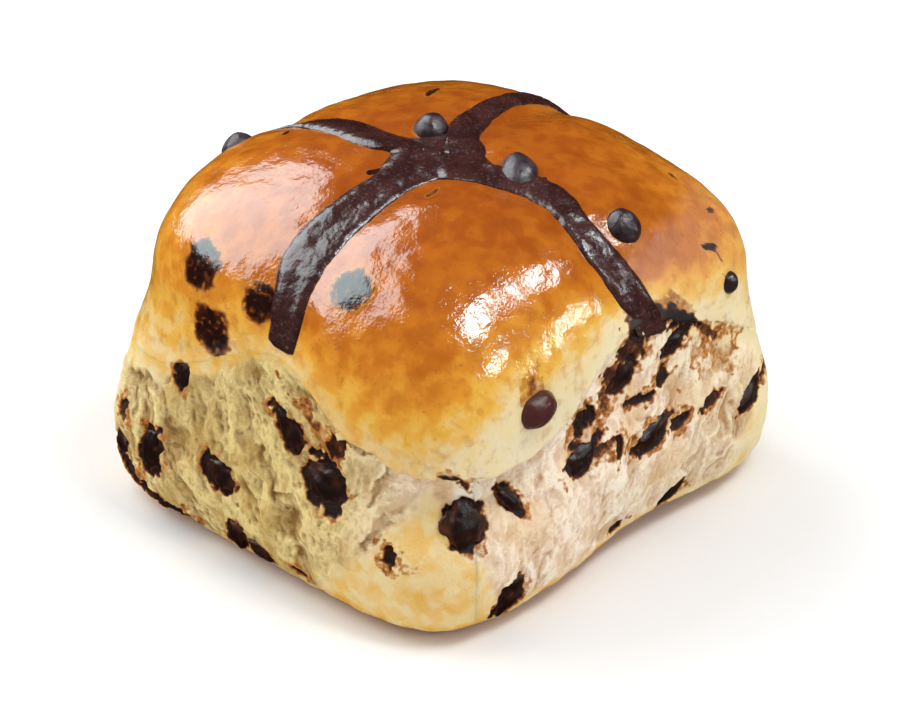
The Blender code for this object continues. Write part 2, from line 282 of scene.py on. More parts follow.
def relief(bearing, radius, height):
    """How far the crust stands out from the plain loaf: four puffed lobes, a valley under
    each arm of the cross, and the puffs and dents, each a bell in bearing and height."""
    quarter = math.pi / 2
    from_arm = np.mod(bearing - CROSS_TURN + quarter / 2, quarter) - quarter / 2
    valley = np.exp(-((radius * np.sin(from_arm) / VALLEY_WIDTH) ** 2))
    valley = valley * ramp(height, *VALLEY_HEIGHTS)
    between = smoothstep(np.abs(from_arm) / (quarter / 2))
    puff = between * smoothstep(radius / (CROWN_WIDTH / 4)) * ramp(height, *PUFF_HEIGHTS)
    stand = LOBE_PUFF * puff - VALLEY_DEPTH * valley
    for middle, level, spread, tall, amount in PUFFS:
        turn = np.mod(bearing - math.radians(middle) + math.pi, 2 * math.pi) - math.pi
        far = (turn / math.radians(spread)) ** 2 + ((height - level) / tall) ** 2
        stand = stand + amount * np.exp(-far)
    return stand


def loaf(bearing, down, inward=0.0):
    """Points on the loaf at a bearing and a share of the way down its side, moved inward.

    The plan is a superellipse that grows squarer with the fall from the top, the foot
    flares, and the relief stands out along the profile's own outward direction.
    """
    bearing, down = np.broadcast_arrays(np.asarray(bearing, float), np.asarray(down, float))
    share = np.interp(down, DOWN, RADIUS)
    height = np.interp(down, DOWN, SIDE_HEIGHT)
    fall = np.clip((HEIGHT - height) / (HEIGHT - WAIST_HEIGHT), 0.0, 1.0)
    power = PLAN_POWER_TOP + (PLAN_POWER_SIDE - PLAN_POWER_TOP) * fall
    square = np.abs(np.cos(bearing)) ** power + np.abs(np.sin(bearing)) ** power
    flare = FOOT_FLARE * ramp(height, *FLARE_HEIGHTS)
    radius = (CROWN_WIDTH / 2 + flare) * share * square ** (-1 / power)
    stand = relief(bearing, radius, height) - inward
    radius = radius + stand * np.interp(down, DOWN, OUT) * smoothstep(share / 0.1)
    rise = np.where(height > 0, stand * np.interp(down, DOWN, UP), 0.0)
    height = np.maximum(height + rise, 0.0)
    x = radius * np.cos(bearing) * LONG_SHARE
    y = radius * np.sin(bearing) / LONG_SHARE
    return np.stack([x, y, height], axis=-1)


def down_at(height):
    """The share of the way down the side at which a height lies."""
    falling = SIDE_HEIGHT > 0
    return np.interp(-height, -SIDE_HEIGHT[falling], DOWN[falling])


def luck(cells, seed):
    """An even random number from 0 to 1 for each cell of three whole numbers: they are
    multiplied by large primes, added, and mixed by shifts and products in 32 bits."""
    mixed = (cells * np.array((73856093, 19349663, 83492791))).sum(-1) + seed * 2654435761
    for _ in range(2):
        mixed = mixed & 0xFFFFFFFF
        mixed = (mixed ^ (mixed >> 15)) * 739982445
    mixed = mixed & 0xFFFFFFFF
    return (mixed ^ (mixed >> 12)) / 0xFFFFFFFF


SLOPES = unit(np.random.default_rng(7).normal(size=(256, 3)))


def ripple(points, size, seed):
    """Smooth noise of about -1 to 1 with bumps a size apart: every corner of a cubic cell
    has a random slope, and an S-shaped blend runs between the corners."""
    place = points / size
    cell = np.floor(place).astype(np.int64)
    inside = place - cell
    blend = inside**3 * (inside * (inside * 6 - 15) + 10)
    total = 0.0
    for corner in np.ndindex(2, 2, 2):
        pick = (luck(cell + corner, seed) * 255.99).astype(int)
        slope = ((inside - corner) * SLOPES[pick]).sum(-1)
        total = total + slope * np.where(corner, blend, 1 - blend).prod(-1)
    return 1.6 * total


def ripples(points, *layers):
    """Layers of ripple added up, each an amount, a size in mm and a seed."""
    return sum(amount * ripple(points, size * MM, seed) for amount, size, seed in layers)


def ring_round(bearing):
    """Places on a level ring as wide as the crown, for noise that runs round the loaf."""
    return np.stack([np.cos(bearing), np.sin(bearing), 0 * bearing], -1) * CROWN_WIDTH / 2


def round_trip(bearing, bearings, values):
    """A value for each bearing, from values at a few bearings in degrees, joined evenly
    and right round the loaf."""
    return np.interp(np.degrees(bearing) % 360, bearings, values, period=360)


def lip(bearing):
    """Height of the crust's torn lip: a wave of four, its sags, and a ragged edge."""
    height = LIP_HEIGHT + LIP_SWING * np.cos(4 * (bearing - CROSS_TURN))
    for middle, reach, drop in LIP_SAGS:
        height = height - drop * np.exp(-((turn_from(bearing, middle) / reach) ** 2))
    ragged = ripples(ring_round(bearing), (1.0, 3.4, 1), (0.5, 1.3, 2))
    return height + LIP_RAGGED * ragged


def tuck(bearing, height):
    """How far the dough lies back under the lip: all of it a little way down, and then
    less and less towards the foot."""
    below = lip(bearing) - height
    depth = MM * round_trip(bearing, TUCK_BEARINGS, TUCK_DEPTHS)
    fade = 1 - ramp(below, TUCK_TURN, TUCK_TURN + TUCK_FADE)
    return depth * smoothstep(below / TUCK_TURN) * fade


def torn(bearing, height):
    """How far inside a torn side a place is, negative outside: the least of its distances
    to the lip, to the skin left at the foot, and to the skin on either corner."""
    place = ring_round(bearing) + np.stack([0 * height, 0 * height, height], -1)
    ragged = ripples(place, *TORN_EDGE)
    way = np.clip(height / LIP_HEIGHT, 0.0, 1.0)
    best = np.full(np.shape(ragged), -20 * MM)
    for middle, before, after, foot in FACES:
        turn = turn_from(bearing, middle)
        start = before[0] + (before[1] - before[0]) * way
        end = after[0] + (after[1] - after[0]) * way
        side = np.minimum(turn - start, end - turn) * math.radians(1) * CROWN_WIDTH / 2
        best = np.maximum(best, np.minimum(side + ragged, height - foot + 0.7 * ragged))
    margin = MM * round_trip(bearing, TUCK_BEARINGS, LIP_SKINS)
    return np.minimum(best, lip(bearing) - height - margin * (1 + ragged / MM / 2))


def baking(bearing, height, points):
    """How baked the crust and the skin under its lip are, from 0 for pale to 1 for dark.

    The crust darkens from its lip up to the orange and more slowly above it, and is paler
    on the shoulder behind. The skin under the lip is pale, with a golden foot.
    """
    low = lip(bearing)
    least = round_trip(bearing, BAKE_BEARINGS, LIP_BAKES)
    orange = MM * round_trip(bearing, BAKE_BEARINGS, ORANGE_HEIGHTS)
    orange = orange + 1.3 * MM * ripple(points, 8 * MM, 14)
    climb = np.clip((height - low) / (orange - low), 0.0, 1.0)
    bake = least + (ORANGE_BAKE - least) * climb**1.5
    bake = bake + TOP_BAKE * np.clip((height - orange) / (53 * MM - orange), 0.0, 1.0)
    behind = BEHIND_BAKE * ramp(-np.cos(bearing - math.radians(225)), -0.6, 0.4)
    behind = behind * ramp(height, 36 * MM, 44 * MM) * (1 - ramp(height, 50 * MM, 54 * MM))
    bake = bake - behind
    foot = 1 - ramp(height, 0.3 * MM, 6 * MM)
    side = 0.06 + 0.15 * foot + 0.07 * ripple(points, 5 * MM, 16)
    side = side + 0.10 * ramp(-np.cos(bearing - math.radians(30)), -0.2, 0.9)
    side = side + (least - side) * (1 - ramp(low - height, 0, 4 * MM))
    return np.where(height < low, side, bake) + 0.05 * ripple(points, 3.4 * MM, 15)


def spot(x, y, length, width, turned, ragged):
    """1 inside an ellipse of a length and width in mm, turned in degrees, and 0 outside;
    ragged moves its edge, as a share of its size."""
    turned = math.radians(turned)
    along = (x * math.cos(turned) + y * math.sin(turned)) / (length * MM / 2)
    aside = (y * math.cos(turned) - x * math.sin(turned)) / (width * MM / 2)
    return 1 - ramp(np.hypot(along, aside) + ragged, 0.75, 1.15)


def smears(bearing, height, points):
    """How dark the chocolate smears make each place: each is an ellipse with a ragged
    edge, measured round the loaf and up it, in a wider and fainter brown one."""
    ragged = ripples(points, *SMEAR_EDGE)
    patchy = 0.9 * ripple(points, 3.6 * MM, 9)
    dark = 0 * height
    for middle, level, length, width, turned, depth in SMEARS:
        across = turn_from(bearing, middle) * math.radians(1) * CROWN_WIDTH / 2
        up = height - level * MM
        core = depth * spot(across, up, length, width, turned, ragged)
        halo = 0.42 * spot(across, up, length + 1.6, width + 1.6, turned, ragged + patchy)
        dark = np.maximum(dark, np.maximum(core, np.minimum(halo, depth)))
    return dark


def outward(points):
    """The direction straight out of a grid of points whose rows run down and whose
    columns run anticlockwise: the down step crossed with the sideways step."""
    across = np.roll(points, -1, axis=1) - np.roll(points, 1, axis=1)
    down = np.gradient(points, axis=0)
    return unit(np.cross(down, across))


def loft(rows):
    """Points and faces of a closed skin over rows of points, each row a ring. The first
    and the last row close in a single point, their mean. Faces are turned outwards."""
    count, ring = rows.shape[:2]
    points = np.concatenate([rows[:1].mean(1), rows[1:-1].reshape(-1, 3), rows[-1:].mean(1)])
    index = 1 + np.arange((count - 2) * ring).reshape(count - 2, ring)
    right = np.roll(index, -1, axis=1)
    quads = np.stack([index[:-1], index[1:], right[1:], right[:-1]], -1).reshape(-1, 4)
    top = np.stack([0 * index[0], index[0], right[0]], -1)
    bottom = np.stack([0 * index[-1] + len(points) - 1, right[-1], index[-1]], -1)
    caps = np.concatenate([top, bottom])
    corners = points[np.concatenate([quads[:, :3], quads[:, (0, 2, 3)], caps])]
    if np.linalg.det(corners - points.mean(0)).sum() < 0:
        quads, caps = quads[:, ::-1], caps[:, ::-1]
    return points, quads, caps


def mark_rows(values):
    """A value for each point that loft makes of a grid of values."""
    return np.concatenate([values[:1].mean(1), values[1:-1].ravel(), values[-1:].mean(1)])


def new_piece(name, points, quads, caps, finish, marks):
    """A smooth mesh object of those points and faces, with each mark as an attribute."""
    mesh = bpy.data.meshes.new(name)
    mesh.vertices.add(len(points))
    mesh.vertices.foreach_set("co", points.astype(np.float32).ravel())
    loops = np.concatenate([quads.ravel(), caps.ravel()]).astype(np.int32)
    mesh.loops.add(len(loops))
    mesh.loops.foreach_set("vertex_index", loops)
    starts = np.concatenate([np.full(len(quads), 4), np.full(len(caps), 3)])
    starts = np.concatenate([[0], np.cumsum(starts)[:-1]]).astype(np.int32)
    mesh.polygons.add(len(starts))
    mesh.polygons.foreach_set("loop_start", starts)
    mesh.update(calc_edges=True)
    mesh.validate()
    mesh.shade_smooth()
    for mark, values in marks.items():
        made = mesh.attributes.new(mark, "FLOAT", "POINT")
        made.data.foreach_set("value", np.asarray(values, np.float32).ravel())
    mesh.materials.append(finish)
    piece = bpy.data.objects.new(name, mesh)
    bpy.context.scene.collection.objects.link(piece)
    return piece


def tone(code):
    """A shader colour from a six-digit web code: each display value becomes an amount of
    light by the usual 2.4 power curve."""
    shown = np.array([int(code[start : start + 2], 16) for start in (0, 2, 4)]) / 255
    light = np.where(shown > 0.04045, ((shown + 0.055) / 1.055) ** 2.4, shown / 12.92)
    return (*light.tolist(), 1.0)


def add_node(tree, kind, values, **settings):
    """A shader node. A value that is a socket is joined to that input, others are set."""
    made = tree.nodes.new("ShaderNode" + kind)
    for name, value in settings.items():
        setattr(made, name, value)
    for name, value in values.items():
        if isinstance(value, bpy.types.NodeSocket):
            tree.links.new(value, made.inputs[name])
        else:
            made.inputs[name].default_value = value
    return made


def combine(tree, operation, first, second):
    """The socket of two values put together, such as by ADD."""
    return add_node(tree, "Math", {0: first, 1: second}, operation=operation).outputs[0]


def new_finish(name, **values):
    """A material with a Principled shader, and its tree and shader."""
    made = bpy.data.materials.new(name)
    made.use_nodes = True
    shader = made.node_tree.nodes["Principled BSDF"]
    for socket, value in values.items():
        shader.inputs[socket.replace("_", " ")].default_value = value
    return made, made.node_tree, shader


def feed(tree, shader, **sockets):
    """Join each socket to the shader's input of that name."""
    for name, socket in sockets.items():
        tree.links.new(socket, shader.inputs[name.replace("_", " ")])


def read_mark(tree, name):
    """The socket of a float attribute."""
    return add_node(tree, "Attribute", {}, attribute_name=name).outputs["Fac"]


def blend(tree, share, low, high):
    """The colour socket of a mix from low to high."""
    made = add_node(tree, "Mix", {0: share, 6: low, 7: high}, data_type="RGBA")
    return made.outputs[2]


def spread(tree, value, low, high, to_low=0.0, to_high=1.0):
    """The socket of a value smoothly spread from one range onto another."""
    values = {0: value, 1: low, 2: high, 3: to_low, 4: to_high}
    return add_node(tree, "MapRange", values, interpolation_type="SMOOTHSTEP").outputs[0]


def shades(tree, share, stops):
    """The colour socket of a ramp through stops of (share, web code)."""
    made = add_node(tree, "ValToRGB", {"Fac": share})
    elements = made.color_ramp.elements
    while len(elements) < len(stops):
        elements.new(0.5)
    for element, (place, code) in zip(elements, stops):
        element.position = place
        element.color = tone(code)
    return made.outputs["Color"]


def new_group(name, inputs, output, kind):
    """An empty node group with named inputs, each a float or a colour with its usual
    value, and one output, a float or a colour."""
    tree = bpy.data.node_groups.new(name, "ShaderNodeTree")
    for socket, value in inputs.items():
        sort = "NodeSocketColor" if isinstance(value, tuple) else "NodeSocketFloat"
        made = tree.interface.new_socket(socket, in_out="INPUT", socket_type=sort)
        made.default_value = value
    tree.interface.new_socket(output, in_out="OUTPUT", socket_type="NodeSocket" + kind)
    given = tree.nodes.new("NodeGroupInput")
    result = tree.nodes.new("NodeGroupOutput")
    return tree, given.outputs, result.inputs[output]


def mottle_group():
    """Cloudy patches: noise on Object coordinates, spread to a mask. Size is how many
    patches there are to a metre, and Low and High are where the mask starts and fills."""
    inputs = {"Size": 100.0, "Low": 0.4, "High": 0.6}
    tree, given, result = new_group("mottle", inputs, "Mask", "Float")
    place = add_node(tree, "TexCoord", {}).outputs["Object"]
    noise = add_node(tree, "TexNoise", {"Vector": place, "Scale": given["Size"], "Detail": 3.0})
    tree.links.new(spread(tree, noise.outputs["Fac"], given["Low"], given["High"]), result)
    return tree


MOTTLE = mottle_group()


def mottle(tree, size, low=0.4, high=0.6, share=1.0):
    """The mask socket of a mottle group with its own values, times a share."""
    made = add_node(tree, "Group", {}, node_tree=MOTTLE)
    for name, value in (("Size", size), ("Low", low), ("High", high)):
        made.inputs[name].default_value = value
    return combine(tree, "MULTIPLY", made.outputs["Mask"], share)


def baked_group():
    """The colour of dough by how baked it is: pale, gold, orange and brown, in clouds."""
    tree, given, result = new_group("baked dough", {"Bake": 0.5}, "Colour", "Color")
    uneven = spread(tree, mottle(tree, 330.0, 0.35, 0.65), 0.0, 1.0, -0.045, 0.045)
    baked = shades(tree, combine(tree, "ADD", given["Bake"], uneven), BAKE_SHADES)
    share = spread(tree, given["Bake"], 0.25, 0.6, 0.0, 0.5)
    share = combine(tree, "MULTIPLY", mottle(tree, 170.0, 0.48, 0.70), share)
    tree.links.new(blend(tree, share, baked, tone("94440F")), result)
    return tree


BAKED = baked_group()


def baked_colour(tree):
    """The colour socket of baked dough by the bake mark."""
    return add_node(tree, "Group", {"Bake": read_mark(tree, "bake")}, node_tree=BAKED).outputs[0]


def bumps(tree, strength, *layers):
    """The normal socket of bumps laid over one another: each is a mottle's size, low and
    high, and how far it stands out in mm."""
    normal = None
    for size, low, high, rise in layers:
        height = mottle(tree, size, low, high)
        values = {"Height": height, "Strength": strength, "Distance": rise * MM}
        if normal:
            values["Normal"] = normal
        normal = add_node(tree, "Bump", values).outputs["Normal"]
    return normal


def stained_group():
    """The colour of a ground stained by melted chocolate: amber where there is a little,
    then orange-brown, dark brown and near black. A grain frays each edge, by Fray."""
    inputs = {"Ground": tone("E0CDA2"), "Stain": 0.0, "Fray": 1.0}
    tree, given, result = new_group("chocolate stain", inputs, "Colour", "Color")
    grain = mottle(tree, 1300.0, 0.30, 0.70, 0.20)
    uneven = combine(tree, "ADD", grain, mottle(tree, 480.0, 0.30, 0.70, 0.24))
    uneven = combine(tree, "SUBTRACT", uneven, 0.22)
    fray = combine(tree, "MULTIPLY", uneven, given["Fray"])
    stain = combine(tree, "SUBTRACT", given["Stain"], fray)
    colour = given["Ground"]
    for low, high, code in STAIN_SHADES:
        colour = blend(tree, spread(tree, stain, low, high), colour, tone(code))
    tree.links.new(colour, result)
    return tree


STAINED = stained_group()


def chocolate_stain(tree, colour, fray):
    """The colour socket of a ground stained by melted chocolate by the stain mark."""
    values = {"Ground": colour, "Stain": read_mark(tree, "stain"), "Fray": fray}
    return add_node(tree, "Group", values, node_tree=STAINED).outputs[0]


def crust_finish():
    """Glazed crust by the bake mark, speckled where it is browned. The glaze is thin and
    uneven, so its shine is broken up by three sizes of bumps and a few duller pits."""
    finish, tree, shader = new_finish(
        "baked crust",
        Specular_IOR_Level=0.70,
        Specular_Tint=(0.92, 1.0, 1.0, 1.0),
        Subsurface_Weight=0.06,
        Subsurface_Scale=0.8 * MM,
    )
    shader.inputs["Subsurface Radius"].default_value = (1.0, 0.5, 0.25)
    colour = blend(tree, mottle(tree, 620.0, 0.50, 0.72, 0.30), baked_colour(tree), tone("A8541A"))
    specks = spread(tree, read_mark(tree, "bake"), 0.15, 0.50, 0.0, 0.45)
    specks = combine(tree, "MULTIPLY", mottle(tree, 1500.0, 0.60, 0.74), specks)
    colour = blend(tree, specks, colour, tone("8A4214"))
    colour = chocolate_stain(tree, colour, 0.45)
    rough = spread(tree, read_mark(tree, "glaze"), 0.0, 1.0, DULL_ROUGHNESS, GLAZED_ROUGHNESS)
    rough = combine(tree, "ADD", rough, mottle(tree, 1500.0, 0.60, 0.72, 0.14))
    uneven = bumps(tree, 0.5, *GLAZE_BUMPS)
    feed(tree, shader, Base_Color=colour, Roughness=rough, Normal=uneven)
    return finish


def chip_rests():
    """Each chip's solid: its middle and radius from its box, then the place on the loaf
    nearest to it, the direction straight out there, and the way up along the loaf."""
    rests = {}
    for name in sorted(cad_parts):
        if name.startswith("chip"):
            low, high = (np.array(corner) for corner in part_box(name))
            middle = (low + high) / 2
            nearest = np.linalg.norm(whole - middle, axis=-1).argmin()
            foot = whole.reshape(-1, 3)[nearest]
            out = whole_out.reshape(-1, 3)[nearest]
            uphill = unit(np.array((0.0, 0.0, 1.0)) - out * out[2])
            rests[name] = (middle, (high - low).mean() / 2, foot, out, uphill)
    return rests


bearing = np.linspace(0.0, 2 * math.pi, AROUND, endpoint=False)[None, :]
edge = lip(bearing)
crown = down_at(edge) * np.linspace(0.0, 1.0, CROWN_ROWS)[:, None]
way = np.linspace(0.0, 1.0, SKIN_ROWS + 1)[1:, None]
fall = np.interp(way, (0.0, 0.15, 1.0), (0.0, 0.06, 1.0))
skin = down_at(edge * (1 - fall))
under = skin[-1:] + (1 - skin[-1:]) * np.linspace(0.0, 1.0, BASE_ROWS + 1)[1:, None]
down = np.concatenate([crown, skin, under])
bearings = np.broadcast_to(bearing, down.shape)
height = np.interp(down, DOWN, SIDE_HEIGHT)
low = lip(bearings)
whole = loaf(bearings, down, tuck(bearings, height))
whole_out = outward(whole)
CHIPS = chip_rests()
BURIED = ("chip_05", "chip_06", "chip_07", "chip_09", "chip_10", "chip_11", "chip_12")

# The plain crust: its lip rolls out where it hangs over, and it lies in under the crumb
hang = ramp(round_trip(bearings, TUCK_BEARINGS, TUCK_DEPTHS), 0.3, 1.5)
roll = LIP_ROLL * hang * np.exp(-(((height - low) / LIP_ROLL_HEIGHT) ** 2))
unseen = ramp(low - height, 0.0, 1.2 * MM) * ramp(height, 0.6 * MM, 2.6 * MM)
plain = loaf(bearings, down, tuck(bearings, height) + SKIN_STEP * unseen - roll)
swell = ripples(plain, *SWELLS) * smoothstep(height / (1.5 * MM))

# Chocolate on it: smears, marks, a dark fringe round each whole chip, partly melted
# chocolate and partly painted shade where the chip meets the crust, and the buried chips,
# which show dark and in patches through a low swelling
along = down * SIDE_LENGTH
ragged = ripples(plain, *MARK_EDGE)
stain = smears(bearings, height, plain)
for x, y, length, width, turned, depth in CROWN_MARKS:
    near_x = along * np.cos(bearings) - x * MM
    near_y = along * np.sin(bearings) - y * MM
    stain = np.maximum(stain, depth * spot(near_x, near_y, length, width, turned, ragged))
for name, (middle, radius, foot, out, uphill) in CHIPS.items():
    far = np.linalg.norm(plain - foot, axis=-1) / radius
    if name in BURIED:
        patchy = 0.97 - 0.36 * ramp(ripple(plain, 0.8 * MM, 20), 0.0, 0.6)
        stain = np.maximum(stain, patchy * (1 - ramp(far + 0.9 * ragged, 0.75, 1.90)))
        swell = swell + 0.12 * (1 - ramp(far, 0.4, 1.8))
    else:
        # the fringe round a whole chip: melted chocolate and painted shade at its foot
        stain = np.maximum(stain, 0.55 * (1 - ramp(far + 0.5 * ragged, 0.85, 1.35)))
crust_rows = plain + outward(plain) * swell[..., None] * MM
crust_rows[..., 2] = np.maximum(crust_rows[..., 2], 0.0)

# The glaze: full where the crust is browned, thin at the lip and on the dull stretch
bake = baking(bearings, height, plain)
bake = np.where(height <= 0, BASE_BAKE + 0.1 * ripple(plain, 6 * MM, 17), bake)
bake = np.where((height > 0) & (height < RIM_HEIGHT), bake + RIM_BAKE, bake)
glaze = ramp(bake, 0.06, 0.28) * ramp(height, low - 1 * MM, low + 5 * MM)
dull = (np.degrees(bearings) - DULL_BEARING) / DULL_REACH
glaze = glaze * (1 - 0.85 * np.exp(-(dull**4)) * (1 - ramp(height, 44 * MM, 49 * MM)))
glaze = glaze * (1 - 0.12 * ramp(stain, 0.5, 0.9))
crust = new_piece(
    "crust",
    *loft(crust_rows),
    crust_finish(),
    {"bake": mark_rows(bake), "glaze": mark_rows(glaze), "stain": mark_rows(stain)},
)
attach(crust, "root")
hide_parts("bun")


# ----------------------------------------------------------------------------------
# The crumb of the four torn sides. Soft white dough pulled apart by hand, so it is all
# torn bubbles and fibres, drawn upwards on one side and slantwise on the next. It comes
# out from under the lip and goes back under the skin at the foot and corners.

CRUMB_COLUMNS, CRUMB_ROWS, BACK_ROWS = 380, 230, 5
# How deep the crumb lies under the skin, how far it runs up behind the lip, how far in
# its back is, and the height where it stops
CRUMB_LEVEL = 0.12 * MM
TOP_TUCK = 1.6 * MM
BACK_DEPTH = 4.5 * MM
FOOT = 0.35 * MM
# Where one side piece ends and the next begins, in degrees, and how far they overlap
SIDE_ENDS = (
    ("plus_x", -45, 45),
    ("plus_y", 45, 135),
    ("minus_x", 135, 231),
    ("minus_y", 231, 315),
)
OVERLAP = 2.5
# By bearing: fibre direction as a slope sideways per unit up, how open and lacy the
# bubbles are, how drawn the tear is, and warmth of colour
CRUMB_BEARINGS = (0, 45, 90, 135, 180, 204, 222, 245, 270, 300, 315)
SLOPES_ASIDE = (0.2, 0.1, -0.3, -0.6, -0.9, -0.9, 0.2, 0.7, 0.9, 0.8, 0.6)
OPENNESS = (0.7, 0.7, 0.9, 0.9, 1.0, 0.9, 0.6, 0.4, 0.45, 0.5, 0.5)
DRAWNESS = (0.4, 0.4, 0.4, 0.4, 0.3, 0.5, 0.8, 1.0, 0.9, 0.7, 0.6)
WARMTHS = (0.4, 0.5, 0.6, 0.9, 1.0, 0.9, 0.1, 0.0, 0.0, 0.3, 0.3)
# Burst bubbles: their spacing in mm, seed, depth in mm and reach as a share of spacing
BUBBLES = ((5.8, 31, 0.66, 0.72), (2.6, 41, 0.20, 0.60), (1.2, 51, 0.15, 0.55))
# Layers of noise for the dimples of the skin, in mm, and round each melted chip
DIMPLES = ((0.22, 4.2, 18), (0.14, 1.8, 19))
MELTED_EDGE = ((1.1 * MM, 2.2, 52), (0.6 * MM, 0.9, 53))
# Darker and paler patches of painted shade on the crumb, added to the hollow mark: bearing,
# height, spread in degrees and in mm, and how much darker
PAINTED_SHADE_CLOUDS = (
    (158, 17, 12, 6, 0.35),
    (173, 10, 8, 4, -0.45),
    (192, 8, 7, 4, 0.22),
    (303, 13, 8, 6, 0.30),
    (206, 17, 6, 5, -0.20),
)
# Chips that lie lengthwise: length and width as shares of their radius, and turn in
# degrees from straight up the loaf
LONG_CHIPS = {
    "chip_02": (1.35, 1.00, -24),
    "chip_13": (1.00, 1.28, 0),
    "chip_14": (1.00, 0.90, 0),
    "chip_15": (1.45, 0.66, -42),
    "chip_16": (1.15, 0.85, -60),
    "chip_17": (1.15, 0.78, -70),
    "chip_18": (1.25, 0.80, 10),
    "chip_20": (1.15, 0.90, 20),
    "chip_21": (1.30, 0.80, -70),
    "chip_22": (1.10, 0.88, 10),
    "chip_23": (1.30, 0.60, -35),
    "chip_24": (1.25, 0.80, 40),
    "chip_25": (1.30, 0.80, 45),
    "chip_26": (1.35, 0.70, 80),
    "chip_27": (1.45, 0.66, 60),
    "chip_28": (1.60, 0.58, 68),
    "chip_29": (1.35, 0.66, 60),
    "chip_31": (1.25, 0.75, 65),
}


def bubbles(points, size, seed):
    """Scattered middles, one in each cubic cell: each point's distance to the nearest, as
    a share of the cell's size, and that middle's own random number."""
    place = points / size
    cell = np.floor(place).astype(np.int64)
    nearest = np.full(place.shape[:-1], 9.0)
    lot = np.zeros(place.shape[:-1])
    for step in np.ndindex(3, 3, 3):
        near = cell + np.array(step) - 1
        middle = near + np.stack([luck(near, seed + axis) for axis in range(3)], -1)
        distance = np.linalg.norm(place - middle, axis=-1)
        lot = np.where(distance < nearest, luck(near, seed + 3), lot)
        nearest = np.minimum(nearest, distance)
    return nearest, lot


def chip_axes(name):
    """The directions along and across a chip that lies on the loaf, each of the length
    that its half length and half width have as shares of its radius."""
    middle, radius, foot, out, uphill = CHIPS[name]
    length, width, turned = LONG_CHIPS.get(name, (1.0, 1.0, 0))
    turned = math.radians(turned)
    side = np.cross(uphill, out)
    along = uphill * math.cos(turned) + side * math.sin(turned)
    across = side * math.cos(turned) - uphill * math.sin(turned)
    return along * length, across * width


def nearest_chip(points):
    """How far each point is from the nearest chip's outline, less than 0 inside it."""
    best = np.full(points.shape[:-1], 1.0)
    for name, (middle, radius, *_) in CHIPS.items():
        off = points - middle
        square = (off**2).sum(-1)
        for axis in chip_axes(name):
            size = (axis**2).sum()
            square = square + (off @ axis) ** 2 / size * (1 / size - 1)
        best = np.minimum(best, np.sqrt(square) - radius)
    return best


def crumb_relief(bearing, points):
    """How far torn crumb stands out: lumps and ridges drawn out along the tear, and burst
    bubbles of three sizes. Also its wisps, of about -1 to 1: the finest drawn threads."""
    slope = round_trip(bearing, CRUMB_BEARINGS, SLOPES_ASIDE)
    openness = round_trip(bearing, CRUMB_BEARINGS, OPENNESS)
    drawness = round_trip(bearing, CRUMB_BEARINGS, DRAWNESS)
    fibre = np.stack([-np.sin(bearing) * slope, np.cos(bearing) * slope, 1 + 0 * slope], -1)
    fibre = unit(fibre)
    warp = [ripples(points, (1.0, 4.0, seed), (0.35, 1.3, seed + 50)) for seed in (21, 22, 23)]
    place = points + 1.5 * MM * np.stack(warp, -1)
    up_fibre = (place * fibre).sum(-1, keepdims=True)
    drawn = place - 0.45 * up_fibre * fibre
    pulled = place - 0.74 * up_fibre * fibre
    stand = 0.75 * ripple(points, 9 * MM, 24) + 0.36 * ripple(drawn, 4.2 * MM, 25)
    stand = stand + (0.16 + 0.02 * openness) * (0.35 - np.abs(ripple(pulled, 2.2 * MM, 26)))
    wisps = ripples(pulled, (1.0, 1.0, 27), (0.7, 0.5, 30))
    stand = stand + 0.075 * wisps + 0.05 * ripple(place, 0.45 * MM, 28)
    stand = stand + 0.22 * drawness * (0.3 - np.abs(ripple(pulled, 3.4 * MM, 29)))
    for size, seed, depth, reach in BUBBLES:
        far, lot = bubbles(drawn, size * MM, seed)
        hollow = np.clip(1 - (far / (reach * (0.35 + 0.65 * lot))) ** 2, 0.0, 1.0)
        stand = stand - openness * depth * ramp(lot, 0.35, 1.0) * hollow
    return stand, wisps


def crumb_finish():
    """Soft matt crumb: cream, darkened in its hollows by painted shade (the hollow mark),
    stained orange-brown by the chips, and skin where the skin mark is set."""
    finish, tree, shader = new_finish(
        "torn crumb",
        Roughness=0.7,
        Specular_IOR_Level=0.30,
        Subsurface_Weight=0.80,
        Subsurface_Scale=2.1 * MM,
    )
    shader.inputs["Subsurface Radius"].default_value = (1.0, 0.78, 0.45)
    warm = read_mark(tree, "warm")
    pale = blend(tree, warm, tone("F2E4D0"), tone("E2CB88"))
    # deep is the colour of painted shade in the crumb's hollows and pores, warmer on the warm
    # sides
    deep = blend(tree, warm, tone("BC8C5A"), tone("7C581E"))
    colour = blend(tree, read_mark(tree, "hollow"), pale, deep)
    clouds = mottle(tree, 150.0, 0.44, 0.68, 0.60)
    colour = blend(tree, clouds, colour, blend(tree, warm, tone("E0BE92"), tone("B08A3E")))
    threads = spread(tree, read_mark(tree, "wisp"), 0.0, 1.0, 0.0, 0.50)
    colour = blend(tree, threads, colour, blend(tree, warm, tone("CCA272"), tone("A07A32")))
    colour = blend(tree, read_mark(tree, "skin"), colour, baked_colour(tree))
    colour = chocolate_stain(tree, colour, 1.0)
    grain = bumps(tree, 0.6, (2600.0, 0.3, 0.7, 0.12))
    feed(tree, shader, Base_Color=colour, Normal=grain)
    return finish


def soften(values, reach):
    """Values averaged over a window of rows and columns, by running sums."""
    for axis in (0, 1):
        padding = [(0, 0), (0, 0)]
        padding[axis] = (reach + 1, reach)
        total = np.cumsum(np.pad(values, padding, mode="edge"), axis=axis)
        size = values.shape[axis]
        high = np.take(total, np.arange(size) + 2 * reach + 1, axis=axis)
        low = np.take(total, np.arange(size), axis=axis)
        values = (high - low) / (2 * reach + 1)
    return values


